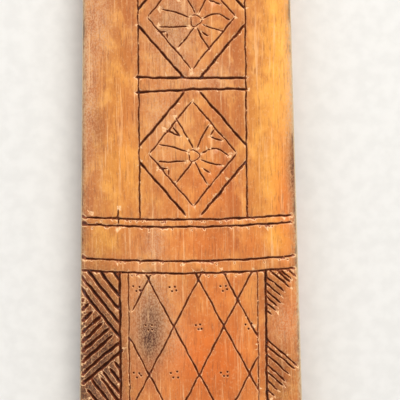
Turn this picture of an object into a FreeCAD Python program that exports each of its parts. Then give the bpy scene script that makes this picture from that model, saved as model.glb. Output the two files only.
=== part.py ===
import FreeCAD, Part
import math
import os

import Sketcher
from FreeCAD import Rotation, Vector

# A leatherworker's wooden edge slicker, also called a long stick, in millimetres.
# It lies on its flat back. X runs across it, Y along it towards the hanging end, and Z up to the carved face.
# The origin is under the middle of the tool, on the surface that it lies on.

DRIVING_DIMENSIONS = [
    ("tool_length", 300.0, "nose tip to hanging end"),
    ("mid_width", 45.0, "width over both edge strips at the width station"),
    ("width_station", -10.0, "Y of the section where the width is given"),
    ("side_slope", 0.0183, "half-width gained for each millimetre towards the nose"),
    ("crown", 12.0, "thickness on the centre line"),
    ("dome_radius", 100.0, "radius of the domed face across the board"),
    ("end_rise", 14.0, "height of the arc that rounds the hanging end"),
    ("nose_length", 28.0, "length of the nose outside the board"),
    ("nose_drop", 5.0, "how much lower the face is at the nose tip"),
    ("nose_corner", 6.0, "radius of the nose's two plan corners"),
    ("tongue_length", 14.0, "length of the tongue inside the board"),
    ("tongue_width", 30.0, "width of the tongue"),
    ("tongue_thickness", 4.0, "thickness of the tongue"),
    ("tongue_base", 3.5, "height of the tongue's underside"),
    ("notch_length", 11.0, "depth of each edge notch from the nose tip"),
    ("small_notch", 5.0, "width of the smallest notch"),
    ("middle_notch", 6.5, "width of the middle notch"),
    ("large_notch", 8.0, "width of the largest notch"),
    ("notch_spread", 13.5, "distance from the middle notch to the outer ones"),
    ("strip_height", 4.6, "height of an edge strip"),
    ("strip_depth", 3.5, "how far a strip is let into the board's side"),
    ("strip_proud", 0.4, "how far the rounded strip stands out of the side"),
    ("strip_base", 3.2, "height of a strip's underside"),
    ("strip_start", -118.0, "Y of the strips' nose end"),
    ("strip_end", 132.0, "Y of the strips' hanging end"),
    ("pin_radius", 0.8, "radius of the pins that hold the strips"),
    ("pin_reach", 3.0, "how far a pin goes into its strip"),
    ("peg_radius", 2.0, "radius of the pegs through the tongue"),
    ("peg_spread", 9.0, "distance of each peg from the centre line"),
    ("peg_station", -115.0, "Y of the pegs"),
    ("hole_radius", 2.5, "radius of the hanging hole"),
    ("hole_station", 138.0, "Y of the hanging hole"),
]

PIN_STATIONS = (-100.0, -45.0, 10.0, 65.0, 120.0)
SLOT_OVERRUN = 1

# Knife cuts: width at the surface and depth.
BROAD_CUT = (0.9, 0.7)
PLAIN_CUT = (0.7, 0.55)
FINE_CUT = (0.5, 0.4)
CUTTER_LIFT = 0.5
LONGEST_CUT_STEP = 7.0
SHORTEST_SLANT = 1.5
SHORTEST_HATCH = 0.7

# The carved panel: two long lines with lozenges between them, and double crossbars between the lozenges.
PANEL_LEFT = -10.0
PANEL_RIGHT = 12.0
PANEL_BOTTOM = -14.0
PANEL_TOP = 98.5
LOZENGE_CENTRE = (1.0, -0.5)
LOZENGE_PITCH = 28.0
LOZENGE_COUNT = 4
OUTER_LOZENGE = (11.0, 12.7)
OUTER_GAP = 1.5
INNER_LOZENGE = (9.0, 10.8)
CROSSBARS = (12.9, 15.6)
CROSSBAR_LEFT_OVERRUN = 0.6
CROSSBAR_RIGHT_OVERRUN = 0.4

# Pairs of lines right across the board: their levels in the middle. Each rises towards the edges.
LOWER_BANDS = (-14.0, -15.5, -22.5, -25.0)
UPPER_BANDS = (98.5, 100.0, 107.0, 109.0)
END_BANDS = (125.0, 126.5)
NOSE_BANDS = (-105.0, -106.5)
BAND_RISE = 0.8
BAND_OVERRUN = 1.0
RIGHT_MARGIN = 0.6

# The lattice field and the hatched side fields below the bands.
FIELD_TOP = -24.5
FIELD_BOTTOM = -105.0
FIELD_LINES = (-14.3, -12.5, 14.0, 15.7)
LATTICE_STEEPNESS = 1.9
LATTICE_PITCH = 19.5
LATTICE_FALLING = 1.1
LATTICE_ODD_LINE = 12.0
LATTICE_RISING = -34.0

# The hatching beside the lattice, in triangles that repeat towards the nose. A falling or a rising cut goes
# down or up from left to right; a border is a slanting line that the cuts run up to.
HATCH_PITCH = 2.6
HATCH_OVERRUN = 0.2
LEFT_EDGE = -22.4
LEFT_FALL = -1.3
LEFT_RISE = 0.9
LEFT_FIRST_CUT = -28.8
LEFT_FIRST_COUNT = 4
LEFT_TRIANGLE_TOP = -39.0
LEFT_TRIANGLE = 21.0
LEFT_REPEATS = 3
LEFT_BORDER_DROP = 10.0
RISING_START = 7.5
RISING_COUNT = 7
FALLING_START = -5.7
FALLING_COUNT = 5
RIGHT_FALL = -0.9
RIGHT_FIRST_CUT = -21.0
RIGHT_FIRST_COUNT = 6
RIGHT_FIRST_BORDER = (16.5, -35.5)
RIGHT_FIRST_STEEPNESS = 1.75
RIGHT_TRIANGLE_TOP = -38.7
RIGHT_TRIANGLE = 17.5
RIGHT_REPEATS = 4
RIGHT_COUNT = 5
RIGHT_BORDER_X = 17.5
RIGHT_BORDER_DROP = 12.0
RIGHT_BORDER_STEEPNESS = 1.27

# The small hatched field near the hanging end: left, right, bottom, top, then its parallel cuts.
END_FIELD = (-10.5, 11.2, 109.2, 125.0)
END_HATCH_START = 148.3
END_HATCH_PITCH = 5.1
END_HATCH_COUNT = 11

# The flower and the nicks of one lozenge, as strokes from its centre, to half a millimetre or finer.
FLOWER = [
    [(-7.0, 2.0), (-4.5, 1.5), (-1.0, 0.3)],
    [(-7.5, -1.5), (-1.2, -1.5)],
    [(1.5, 0.0), (4.5, 1.0), (7.5, -0.5)],
    [(1.5, -1.2), (3.5, -2.0), (6.0, -2.5)],
    [(-3.5, 7.5), (0.2, 1.0)],
    [(3.5, 6.0), (2.0, 3.5), (0.8, 1.0)],
    [(0.0, -1.6), (-1.5, -3.5), (-3.5, -6.0)],
    [(0.4, -1.6), (1.5, -4.0), (3.0, -6.5)],
    [(-0.8, 0.6), (0.3, 0.7), (1.4, -0.4), (0.4, -1.4), (-0.7, -1.4), (-0.8, 0.6)],
]
NICKS = [
    [(-4.5, 6.0), (-2.5, 3.5), (-5.5, 5.0)],
    [(4.5, 5.0), (3.5, 3.5), (6.0, 2.5)],
    [(-7.0, -3.0), (-5.0, -3.0), (-5.0, -4.5)],
    [(2.0, -3.0), (3.5, -4.0)],
]


# ---------------------------------------------------------------- document and sheet

def make_sheet(document):
    """Put the driving dimensions in a sheet, one row each, with the alias that expressions use."""
    sheet = document.addObject("Spreadsheet::Sheet", "Dimensions")
    for row, (alias, value, note) in enumerate(DRIVING_DIMENSIONS, start=1):
        sheet.set(f"A{row}", alias)
        sheet.set(f"B{row}", str(value))
        sheet.set(f"C{row}", note)
        sheet.setAlias(f"B{row}", alias)
    document.recompute()
    return sheet


def cell(alias):
    """Expression that reads one driving dimension."""
    return f"Dimensions.{alias}"


def board_half_width(station):
    """Expression for the board's half-width at a Y station, inside the strips' proud edge."""
    widening = f"{cell('side_slope')} * ({station} - {cell('width_station')})"
    return f"({cell('mid_width')} / 2 - {cell('strip_proud')} - {widening})"


def number(expression):
    """Present value of an expression."""
    return float(sheet.evalExpression(expression))


def bind(item, **expressions):
    """Bind properties of an object to expressions; a double underscore stands for a dot."""
    for name, expression in expressions.items():
        item.setExpression(name.replace("__", "."), expression)


def origin_plane(body, role):
    """One of the body's own origin planes."""
    for feature in body.Origin.OriginFeatures:
        if feature.Role == role:
            return feature
    raise ValueError(role)


# ---------------------------------------------------------------- sketches and primitives

def pin_point(sketch, geometry, position, corner):
    """Fix one end of a sketch line or arc at a pair of expressions."""
    for kind, expression in zip(("DistanceX", "DistanceY"), corner):
        constraint = Sketcher.Constraint(kind, -1, 1, geometry, position, number(expression))
        index = sketch.addConstraint(constraint)
        sketch.setExpression(f"Constraints[{index}]", expression)


def draw_outline(body, name, role, corners, arcs=None):
    """Draw a closed outline; arcs gives the radius and bulge side of the edges that aren't straight."""
    arcs = arcs or {}
    sketch = body.newObject("Sketcher::SketchObject", name)
    sketch.AttachmentSupport = [(origin_plane(body, role), "")]
    sketch.MapMode = "FlatFace"
    points = [Vector(number(x), number(y), 0) for x, y in corners]
    for index, start in enumerate(points):
        end = points[(index + 1) % len(points)]
        if index in arcs:
            radius = number(arcs[index])
            edge = Part.Arc(start, arc_middle(start, end, radius), end)
            geometry = sketch.addGeometry(edge)
            # A three-point arc always runs anticlockwise in the sketch, so its start may be the later corner.
            forward = (sketch.getPoint(geometry, 1) - start).Length < 1e-6
            pin_point(sketch, geometry, 1 if forward else 2, corners[index])
            pin_point(sketch, geometry, 2 if forward else 1, corners[(index + 1) % len(points)])
            constraint = sketch.addConstraint(Sketcher.Constraint("Radius", geometry, radius))
            sketch.setExpression(f"Constraints[{constraint}]", arcs[index])
        else:
            geometry = sketch.addGeometry(Part.LineSegment(start, end))
            pin_point(sketch, geometry, 1, corners[index])
            pin_point(sketch, geometry, 2, corners[(index + 1) % len(points)])
    return sketch


def arc_middle(start, end, radius):
    """Middle point of the short arc from start to end that bulges to the right of its travel."""
    chord = end - start
    outward = Vector(chord.y, -chord.x, 0).normalize()
    sagitta = radius - math.sqrt(max(radius ** 2 - (chord.Length / 2) ** 2, 0.0))
    return start + chord * 0.5 + outward * sagitta


def pad(body, sketch, name, length, reverse=False):
    """Pad a sketch by an expression."""
    feature = body.newObject("PartDesign::Pad", name)
    feature.Profile = sketch
    feature.Reversed = reverse
    bind(feature, Length=length)
    body.Tip = feature
    return feature


def upright_cylinder(name, radius, height, x, y, z="0"):
    """A cylinder along Z, with all of its sizes bound."""
    cylinder = document.addObject("Part::Cylinder", name)
    bind(cylinder, Radius=radius, Height=height)
    bind(cylinder, Placement__Base__x=x, Placement__Base__y=y, Placement__Base__z=z)
    return cylinder


def boolean(kind, name, base, tool):
    """A two-object boolean."""
    result = document.addObject(f"Part::{kind}", name)
    result.Base = base
    result.Tool = tool
    return result


def group(kind, property_name, name, members):
    """A fusion or a compound of several objects."""
    result = document.addObject(f"Part::{kind}", name)
    setattr(result, property_name, members)
    return result


# ---------------------------------------------------------------- sub-parts

def make_board_blank():
    """The tapering board with its round hanging end, still flat on top."""
    shoulder = f"({cell('tool_length')} / 2 - {cell('end_rise')})"
    joint = f"({cell('nose_length')} - {cell('tool_length')} / 2)"
    far_half = board_half_width(shoulder)
    near_half = board_half_width(joint)
    corners = [(f"-{near_half}", joint), (near_half, joint), (far_half, shoulder), (f"-{far_half}", shoulder)]
    rise = cell("end_rise")
    end_radius = f"(({far_half} * {far_half} + {rise} * {rise}) / (2 * {rise}))"
    body = document.addObject("PartDesign::Body", "board_blank")
    outline = draw_outline(body, "board_outline", "XY_Plane", corners, {2: end_radius})
    pad(body, outline, "board_pad", cell("crown"))
    return body


def make_dome():
    """The long cylinder whose top is the domed face."""
    dome = document.addObject("Part::Cylinder", "dome")
    dome.Placement.Rotation = Rotation(Vector(1, 0, 0), -90)
    bind(dome, Radius=cell("dome_radius"), Height=cell("tool_length"))
    bind(dome, Placement__Base__y=f"-{cell('tool_length')} / 2")
    bind(dome, Placement__Base__z=f"{cell('crown')} - {cell('dome_radius')}")
    return dome


def make_strip_body(name, side):
    """One edge strip: a bar with a rounded outer face, laid along the tapering side of the board."""
    start = cell("strip_start")
    inner = f"{-side} * {cell('strip_depth')}"
    low = cell("strip_base")
    high = f"({cell('strip_base')} + {cell('strip_height')})"
    half_height = f"({cell('strip_height')} / 2)"
    proud = cell("strip_proud")
    radius = f"(({half_height} * {half_height} + {proud} * {proud}) / (2 * {proud}))"
    corners = [(inner, low), ("0", low), ("0", high), (inner, high)]
    face = 1
    if side < 0:
        corners.reverse()
    body = document.addObject("PartDesign::Body", name)
    section = draw_outline(body, name + "_section", "XZ_Plane", corners, {face: radius})
    slope_length = f"sqrt(1 + {cell('side_slope')} * {cell('side_slope')})"
    length = f"({cell('strip_end')} - {start}) * {slope_length}"
    pad(body, section, name + "_pad", length, reverse=True)
    body.Placement.Rotation = Rotation(Vector(0, 0, side), 1)
    bind(body, Placement__Rotation__Angle=f"atan({cell('side_slope')})")
    bind(body, Placement__Base__x=f"{side} * {board_half_width(start)}", Placement__Base__y=start)
    return body


def make_strip_pins():
    """The pins that are driven from the back into both strips."""
    inset = f"{cell('strip_depth')} / 2"
    height = f"{cell('strip_base')} + {cell('pin_reach')}"
    pins = []
    for side in (-1, 1):
        for station in PIN_STATIONS:
            x = f"{side} * ({board_half_width(station)} - {inset})"
            pins.append(upright_cylinder("strip_pin", cell("pin_radius"), height, x, str(station)))
    return group("Compound", "Links", "strip_pin_group", pins)


def make_nose_body():
    """The nose's plan, thickness and tongue, before it is shaped."""
    joint = f"({cell('nose_length')} - {cell('tool_length')} / 2)"
    tip = f"(-{cell('tool_length')} / 2)"
    corner = cell("nose_corner")
    joint_half = board_half_width(joint)
    side_end = f"({tip} + {corner})"
    side_half = board_half_width(side_end)
    tip_half = f"({side_half} - {corner})"
    corners = [
        (f"-{joint_half}", joint), (f"-{side_half}", side_end), (f"-{tip_half}", tip),
        (tip_half, tip), (side_half, side_end), (joint_half, joint),
    ]
    body = document.addObject("PartDesign::Body", "nose_body")
    outline = draw_outline(body, "nose_outline", "XY_Plane", corners, {1: corner, 3: corner})
    pad(body, outline, "nose_pad", cell("crown"))
    return body


def make_tongue():
    """The flat tongue that enters the board."""
    tongue = document.addObject("Part::Box", "tongue")
    bind(tongue, Length=cell("tongue_width"), Height=cell("tongue_thickness"))
    bind(tongue, Width=f"{cell('tongue_length')} + {cell('nose_corner')}")
    bind(tongue, Placement__Base__x=f"-{cell('tongue_width')} / 2")
    joint = f"{cell('nose_length')} - {cell('tool_length')} / 2"
    bind(tongue, Placement__Base__y=f"{joint} - {cell('nose_corner')}")
    bind(tongue, Placement__Base__z=cell("tongue_base"))
    return tongue


def make_nose_dome():
    """The cylinder whose top is the nose's face: the board's dome, tipped down towards the tip."""
    dome = document.addObject("Part::Cylinder", "nose_dome")
    dome.Placement.Rotation = Rotation(Vector(1, 0, 0), 90)
    tilt = f"atan({cell('nose_drop')} / {cell('nose_length')})"
    bind(dome, Radius=cell("dome_radius"), Height=f"2 * {cell('nose_length')}")
    bind(dome, Placement__Rotation__Angle=f"90 deg + {tilt}")
    joint = f"({cell('nose_length')} - {cell('tool_length')} / 2)"
    bind(dome, Placement__Base__y=f"{joint} + {cell('dome_radius')} * sin({tilt})")
    bind(dome, Placement__Base__z=f"{cell('crown')} - {cell('dome_radius')} * cos({tilt})")
    return dome


def make_notches():
    """The three graded U notches that the leather's edge is rubbed in."""
    tip = f"-{cell('tool_length')} / 2"
    pieces = []
    for place, width in ((-1, "small_notch"), (0, "middle_notch"), (1, "large_notch")):
        x = f"{place} * {cell('notch_spread')}"
        straight = f"({cell('notch_length')} - {cell(width)} / 2)"
        slot = document.addObject("Part::Box", width + "_slot")
        bind(slot, Length=cell(width), Width=f"{straight} + {SLOT_OVERRUN}", Height=cell("crown"))
        bind(slot, Placement__Base__x=f"{x} - {cell(width)} / 2")
        bind(slot, Placement__Base__y=f"{tip} - {SLOT_OVERRUN}")
        pieces.append(slot)
        end = upright_cylinder(width + "_end", f"{cell(width)} / 2", cell("crown"), x, f"{tip} + {straight}")
        pieces.append(end)
    return group("MultiFuse", "Shapes", "nose_notches", pieces)


def make_nose_pegs(dome):
    """Two pegs through the board's cheeks and the tongue, trimmed to the domed face."""
    pegs = []
    for side in (-1, 1):
        x = f"{side} * {cell('peg_spread')}"
        pegs.append(upright_cylinder("nose_peg", cell("peg_radius"), cell("crown"), x, cell("peg_station")))
    blanks = group("Compound", "Links", "nose_peg_blanks", pegs)
    return boolean("Common", "nose_peg_group", blanks, dome)


# ---------------------------------------------------------------- carving

def face_height(x):
    """Height of the domed face above the back, at a distance x from the centre line."""
    radius = sheet.dome_radius
    return sheet.crown - radius + math.sqrt(radius ** 2 - x ** 2)


def dense(points):
    """Add points to a cut wherever it runs far across the dome."""
    result = [points[0]]
    for start, end in zip(points, points[1:]):
        steps = max(1, math.ceil(abs(end[0] - start[0]) / LONGEST_CUT_STEP))
        for step in range(1, steps + 1):
            part = step / steps
            result.append((start[0] + (end[0] - start[0]) * part, start[1] + (end[1] - start[1]) * part))
    return result


def side_vector(points, index):
    """Plan vector square to a cut at one of its points, lengthened where the cut turns."""
    directions = []
    for start, end in ((index - 1, index), (index, index + 1)):
        if start >= 0 and end < len(points):
            step = Vector(points[end][0] - points[start][0], points[end][1] - points[start][1], 0)
            directions.append(step.normalize())
    middle = (directions[0] + directions[-1]).normalize()
    stretch = 1.0 / max(middle.dot(directions[0]), 0.5)
    return Vector(-middle.y, middle.x, 0) * stretch


def flat_faces(first, second, third, fourth):
    """One flat face through four points, or two where they aren't in one plane."""
    normal = (second - first).cross(third - first).normalize()
    if abs((fourth - first).dot(normal)) < 1e-7:
        return [Part.Face(Part.makePolygon([first, second, third, fourth, first]))]
    return [
        Part.Face(Part.makePolygon([first, second, third, first])),
        Part.Face(Part.makePolygon([first, third, fourth, first])),
    ]


def knife_cut(points, size):
    """Closed V-shaped cutter along a line of plan points, following the domed face."""
    width, depth = size
    points = dense(points)
    half = width / 2 * (depth + CUTTER_LIFT) / depth
    sections = []
    for index, (x, y) in enumerate(points):
        side = side_vector(points, index) * half
        top = Vector(x, y, face_height(x) + CUTTER_LIFT)
        sections.append((top + side, top - side, Vector(x, y, face_height(x) - depth)))
    faces = [Part.Face(Part.makePolygon([*sections[0], sections[0][0]]))]
    for near, far in zip(sections, sections[1:]):
        for first, second in ((0, 1), (1, 2), (2, 0)):
            faces += flat_faces(near[first], near[second], far[second], far[first])
    faces.append(Part.Face(Part.makePolygon([*sections[-1], sections[-1][0]])))
    solid = Part.Solid(Part.Shell(faces))
    solid.fixTolerance(1e-6)
    if solid.Volume < 0:
        solid.reverse()
    return solid


def band_points(level):
    """A line across the board that rises a little towards both edges."""
    reach = number(board_half_width(level))
    points = [(part * reach, level + BAND_RISE * part ** 2) for part in (-1.0, -0.5, 0.0, 0.5, 1.0)]
    points[0] = (-reach - BAND_OVERRUN, level + BAND_RISE)
    points[-1] = (reach - RIGHT_MARGIN, level + BAND_RISE)
    return points


def lozenge_sides():
    """The outer and the inner outline of a lozenge, as separate sides with their cutter's size."""
    wide, tall = OUTER_LOZENGE
    inner_wide, inner_tall = INNER_LOZENGE
    sides = []
    for x_way in (-1, 1):
        for y_way in (-1, 1):
            outer = [(x_way * OUTER_GAP, y_way * tall), (x_way * wide, y_way * OUTER_GAP)]
            inner = [(0.0, y_way * inner_tall), (x_way * inner_wide, 0.0)]
            sides += [(outer, BROAD_CUT), (inner, PLAIN_CUT)]
    return sides


def lozenge_cuts(index):
    """All cuts of one lozenge with its flower, each straight stroke of the knife on its own."""
    x = LOZENGE_CENTRE[0]
    y = LOZENGE_CENTRE[1] + LOZENGE_PITCH * index
    cuts = []
    for line, size in lozenge_sides() + [(line, FINE_CUT) for line in FLOWER + NICKS]:
        points = [(x + dx, y + dy) for dx, dy in line]
        cuts += [knife_cut([start, end], size) for start, end in zip(points, points[1:])]
    return cuts


def panel_cuts():
    """The lozenge panel: its two long lines, the lozenges and the crossbars between them."""
    cuts = [knife_cut([(x, PANEL_BOTTOM), (x, PANEL_TOP)], BROAD_CUT) for x in (PANEL_LEFT, PANEL_RIGHT)]
    for index in range(LOZENGE_COUNT):
        cuts += lozenge_cuts(index)
        for rise in CROSSBARS[:1] if index == LOZENGE_COUNT - 1 else CROSSBARS:
            y = LOZENGE_CENTRE[1] + LOZENGE_PITCH * index + rise
            line = [(PANEL_LEFT - CROSSBAR_LEFT_OVERRUN, y), (PANEL_RIGHT + CROSSBAR_RIGHT_OVERRUN, y)]
            cuts.append(knife_cut(line, BROAD_CUT))
    return cuts


def slanting_cuts(field, starts, steepness):
    """Parallel slanting cuts through a field, clipped to it; starts are their levels at the field's left."""
    left, right, bottom, top = field
    cuts = []
    for start in starts:
        crossings = sorted((left + (level - start) / steepness for level in (bottom, top)))
        low = max(left, crossings[0])
        high = min(right, crossings[1])
        if high - low > SHORTEST_SLANT:
            line = [(x, start + (x - left) * steepness) for x in (low, high)]
            cuts.append(knife_cut(line, PLAIN_CUT))
    return cuts


def lattice_cuts(field, falling, rising, pitch):
    """Two families of slanting cuts that cross in diamonds."""
    height = field[3] - field[2]
    span = (field[1] - field[0]) * LATTICE_STEEPNESS
    count = math.ceil((height + span) / pitch)
    down = [falling - pitch * index for index in range(count)]
    up = [rising - pitch * index for index in range(count)]
    return slanting_cuts(field, down, -LATTICE_STEEPNESS) + slanting_cuts(field, up, LATTICE_STEEPNESS)


def hatch_block(base_x, first_y, count, slope, border, border_slope, ceiling=None):
    """Parallel cuts from the line x = base_x to just past a slanting border, none above the ceiling."""
    cuts = []
    for index in range(count):
        y = first_y - HATCH_PITCH * index
        start = (base_x, y)
        if ceiling is not None and y > ceiling:
            start = (base_x + (ceiling - y) / slope, ceiling)
        end_x = (border[1] - start[1] + slope * start[0] - border_slope * border[0]) / (slope - border_slope)
        end_x += math.copysign(HATCH_OVERRUN, end_x - start[0])
        end = (end_x, start[1] + slope * (end_x - start[0]))
        if abs(end[0] - start[0]) > SHORTEST_HATCH and end[1] > FIELD_BOTTOM:
            cuts.append(knife_cut([start, end], PLAIN_CUT))
    return cuts


def left_hatch_cuts():
    """The left side field: triangles of falling and rising cuts in turn."""
    line = FIELD_LINES[0]
    cuts = hatch_block(line, LEFT_FIRST_CUT, LEFT_FIRST_COUNT, LEFT_FALL, (LEFT_EDGE, FIELD_TOP), 0.0)
    for index in range(LEFT_REPEATS):
        top = LEFT_TRIANGLE_TOP - LEFT_TRIANGLE * index
        fall_border = (line, top)
        rise_border = (LEFT_EDGE, top - LEFT_BORDER_DROP)
        cuts += hatch_block(LEFT_EDGE, top + RISING_START, RISING_COUNT, LEFT_RISE, fall_border, LEFT_FALL)
        cuts += hatch_block(line, top + FALLING_START, FALLING_COUNT, LEFT_FALL, rise_border, LEFT_RISE)
    return cuts


def right_hatch_cuts():
    """The right side field: triangles of falling cuts with rubbed bare wood between them."""
    line = FIELD_LINES[3]
    cuts = hatch_block(line, RIGHT_FIRST_CUT, RIGHT_FIRST_COUNT, RIGHT_FALL,
                       RIGHT_FIRST_BORDER, RIGHT_FIRST_STEEPNESS, ceiling=FIELD_TOP)
    for index in range(RIGHT_REPEATS):
        top = RIGHT_TRIANGLE_TOP - RIGHT_TRIANGLE * index
        border = (RIGHT_BORDER_X, top - RIGHT_BORDER_DROP)
        cuts += hatch_block(line, top, RIGHT_COUNT, RIGHT_FALL, border, RIGHT_BORDER_STEEPNESS)
    return cuts


def field_cuts():
    """The long field under the bands: its four long lines, the lattice and the hatched sides."""
    cuts = [knife_cut([(x, FIELD_TOP), (x, FIELD_BOTTOM)], BROAD_CUT) for x in FIELD_LINES]
    lattice_field = (FIELD_LINES[1], FIELD_LINES[2], FIELD_BOTTOM, FIELD_TOP)
    cuts += slanting_cuts(lattice_field, [LATTICE_ODD_LINE], -LATTICE_STEEPNESS)
    cuts += lattice_cuts(lattice_field, LATTICE_FALLING, LATTICE_RISING, LATTICE_PITCH)
    return cuts + left_hatch_cuts() + right_hatch_cuts()


def carving_cutters():
    """Every knife cut of the carved face."""
    cuts = []
    for level in LOWER_BANDS + UPPER_BANDS + END_BANDS + NOSE_BANDS:
        cuts.append(knife_cut(band_points(level), BROAD_CUT))
    cuts += panel_cuts()
    cuts += field_cuts()
    starts = [END_HATCH_START - END_HATCH_PITCH * index for index in range(END_HATCH_COUNT)]
    cuts += slanting_cuts(END_FIELD, starts, -LATTICE_STEEPNESS)
    return cuts


# ---------------------------------------------------------------- assembly

def build_parts():
    """Make every sub-part and return them in the order of the parts list."""
    dome = make_dome()
    pins = make_strip_pins()
    pegs = make_nose_pegs(dome)
    strips = {}
    for name, side in (("left", -1), ("right", 1)):
        strips[name] = make_strip_body(f"{name}_strip_body", side)

    nose_shape = boolean("Common", "nose_domed", make_nose_body(), make_nose_dome())
    nose_shape = boolean("Cut", "nose_notched", nose_shape, make_notches())
    nose_shape = group("MultiFuse", "Shapes", "nose_with_tongue", [nose_shape, make_tongue()])

    board = boolean("Common", "board_domed", make_board_blank(), dome)
    hole = upright_cylinder("hanging_hole", cell("hole_radius"), cell("crown"), "0", cell("hole_station"))
    for name, tool in (
        ("board_hanging", hole),
        ("board_mortised", nose_shape),
        ("board_left_grooved", strips["left"]),
        ("board_right_grooved", strips["right"]),
        ("board_pinned", pins),
        ("board_pegged", pegs),
    ):
        board = boolean("Cut", name, board, tool)
    document.recompute()

    carved = document.addObject("Part::Feature", "carved_board")
    carved.Shape = board.Shape.cut(carving_cutters())
    finished = {
        "carved_board": carved,
        "left_edge_strip": boolean("Cut", "left_strip_drilled", strips["left"], pins),
        "right_edge_strip": boolean("Cut", "right_strip_drilled", strips["right"], pins),
        "strip_pins": pins,
        "nose_block": boolean("Cut", "nose_drilled", nose_shape, pegs),
        "nose_pegs": pegs,
    }
    for label, item in finished.items():
        item.Label = label
    document.recompute()
    return finished


def check_document(finished):
    """Stop if any object failed or any sub-part is empty or invalid."""
    for item in document.Objects:
        if "Invalid" in item.State or "Error" in item.State:
            raise RuntimeError(f"{item.Name} failed: {item.State}")
    for label, item in finished.items():
        if item.Shape.isNull() or not item.Shape.isValid():
            raise RuntimeError(f"{label} has no valid shape")


def write_parts(finished):
    """Write one STEP file for each sub-part."""
    os.makedirs("parts", exist_ok=True)
    for label, item in finished.items():
        shape = item.Shape
        shape.exportStep(f"parts/{label}.step")
        box = shape.BoundBox
        size = f"{box.XLength:.2f} x {box.YLength:.2f} x {box.ZLength:.2f}"
        counts = f"{len(shape.Solids)} solids, {len(shape.Faces)} faces"
        print(f"{label}: {counts}, {shape.Volume:.1f} mm3, {size} mm")


document = FreeCAD.newDocument("wood_edge_slicker")
sheet = make_sheet(document)
parts = build_parts()
check_document(parts)
write_parts(parts)
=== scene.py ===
import itertools
import math

import bpy
import numpy as np
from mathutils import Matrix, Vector, geometry


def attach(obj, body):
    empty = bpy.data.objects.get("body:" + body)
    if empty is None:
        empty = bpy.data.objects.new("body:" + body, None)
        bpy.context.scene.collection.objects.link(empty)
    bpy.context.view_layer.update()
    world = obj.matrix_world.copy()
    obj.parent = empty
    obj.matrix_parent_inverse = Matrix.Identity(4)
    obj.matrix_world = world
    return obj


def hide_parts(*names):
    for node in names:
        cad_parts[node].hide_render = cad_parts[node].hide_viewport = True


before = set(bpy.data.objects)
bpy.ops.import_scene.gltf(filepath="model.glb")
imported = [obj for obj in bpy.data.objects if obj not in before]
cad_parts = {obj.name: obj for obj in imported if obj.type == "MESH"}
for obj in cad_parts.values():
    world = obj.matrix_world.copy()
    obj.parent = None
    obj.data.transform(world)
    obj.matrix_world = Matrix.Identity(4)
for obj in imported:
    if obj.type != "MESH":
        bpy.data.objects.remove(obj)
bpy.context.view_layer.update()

MM = 0.001

# ---- the object's sizes, in mm

CROWN = 12.0
DOME_RADIUS = 100.0
MID_HALF_WIDTH = 22.5
WIDTH_STATION = -10.0
SIDE_SLOPE = 0.0183
STRIP_PROUD = 0.4
STRIP_DEPTH = 3.5
STRIP_LEVELS = (3.2, 7.8)
STRIP_SPAN = (-118.0, 132.0)
PIN_STATIONS = (-100.0, -45.0, 10.0, 65.0, 120.0)
PIN_RADIUS = 0.8
PEG_RADIUS = 2.0
PEG_SPREAD = 9.0
PEG_STATION = -115.0
JOINT_STATION = -122.0
TIP_STATION = -150.0
SHOULDER_STATION = 136.0
END_STATION = 150.0
TONGUE_HALF_WIDTH = 15.0
TONGUE_LENGTH = 14.0
TONGUE_LEVELS = (3.5, 7.5)
NOSE_DROP = 5.0
NOSE_CORNER = 6.0
NOTCHES = ((-13.5, 5.0), (0.0, 6.5), (13.5, 8.0))
NOTCH_LENGTH = 11.0
HOLE_RADIUS = 2.5
HOLE_STATION = 138.0
FIT = 0.05
SEAT_DEPTH = 1.5

# How far edges are rounded: the faces' sides, the joint's, the notches', the hole's and the undersides'.
BOARD_SOFT = 1.0
NOSE_SOFT = 1.2
CRISP = 0.18
NOTCH_SOFT = 0.6
HOLE_SOFT = (0.7, 0.3)
BOARD_UNDER = 0.6
NOSE_UNDER = 0.5

# How pale the long edges are worn, from the face down over their rounding.
RIM_WEAR = (0.1, 0.3, 0.75, 1.0, 1.0)

# The hand-planed face: how far it lies below the true dome, its waves' height, and the nose's share of both.
FACE_SINK = 0.05
FACE_WAVE = 0.028
NOSE_UNEVENNESS = 0.6

# How finely each mesh follows the shape: in mm, in points along a stretch, and its sharp edges' degrees.
LOOP_STEP = 0.45
BASE_STEP = 1.15
BASE_MARGIN = 0.4
CUT_STEP = 0.5
CLOSEST = 0.16
BORDER_GAP = 0.14
NOSE_BORDER_GAP = 0.5
WALL_STEP = 0.02
LEAST_WALL = 0.1
CIRCLE_STEPS = 40
PIT_STEPS = 6
CORNER_MARGIN = 0.3
JOINT_POINTS = 88
END_POINTS = 80
CORNER_POINTS = 14
NOTCH_SIDE_POINTS = 16
NOTCH_END_POINTS = 22
NOSE_SIDE_POINTS = 40
SHARP_ANGLE = 50

# ---- the carving, in mm

# A field's left, right, bottom and top.
PANEL = (-10.0, 12.0, -14.0, 98.5)
PANEL_LEAN = 0.1
LOZENGE_CENTRE = (1.0, -0.5)
LOZENGE_PITCH = 28.0
LOZENGE_COUNT = 4
OUTER_LOZENGE = (11.0, 12.7)
OUTER_GAP = 1.5
INNER_LOZENGE = (9.0, 10.8)
FLOWER_SHIFTS = ((0.0, 0.0), (0.7, -0.4), (0.2, 0.3), (0.5, 0.0))

# The two lines between lozenges: their rise above a lozenge's centre and their tilt.
CROSSBARS = ((12.9, 0.25), (15.6, -0.15))
CROSSBAR_OVERRUN = (0.7, 0.4)

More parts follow.
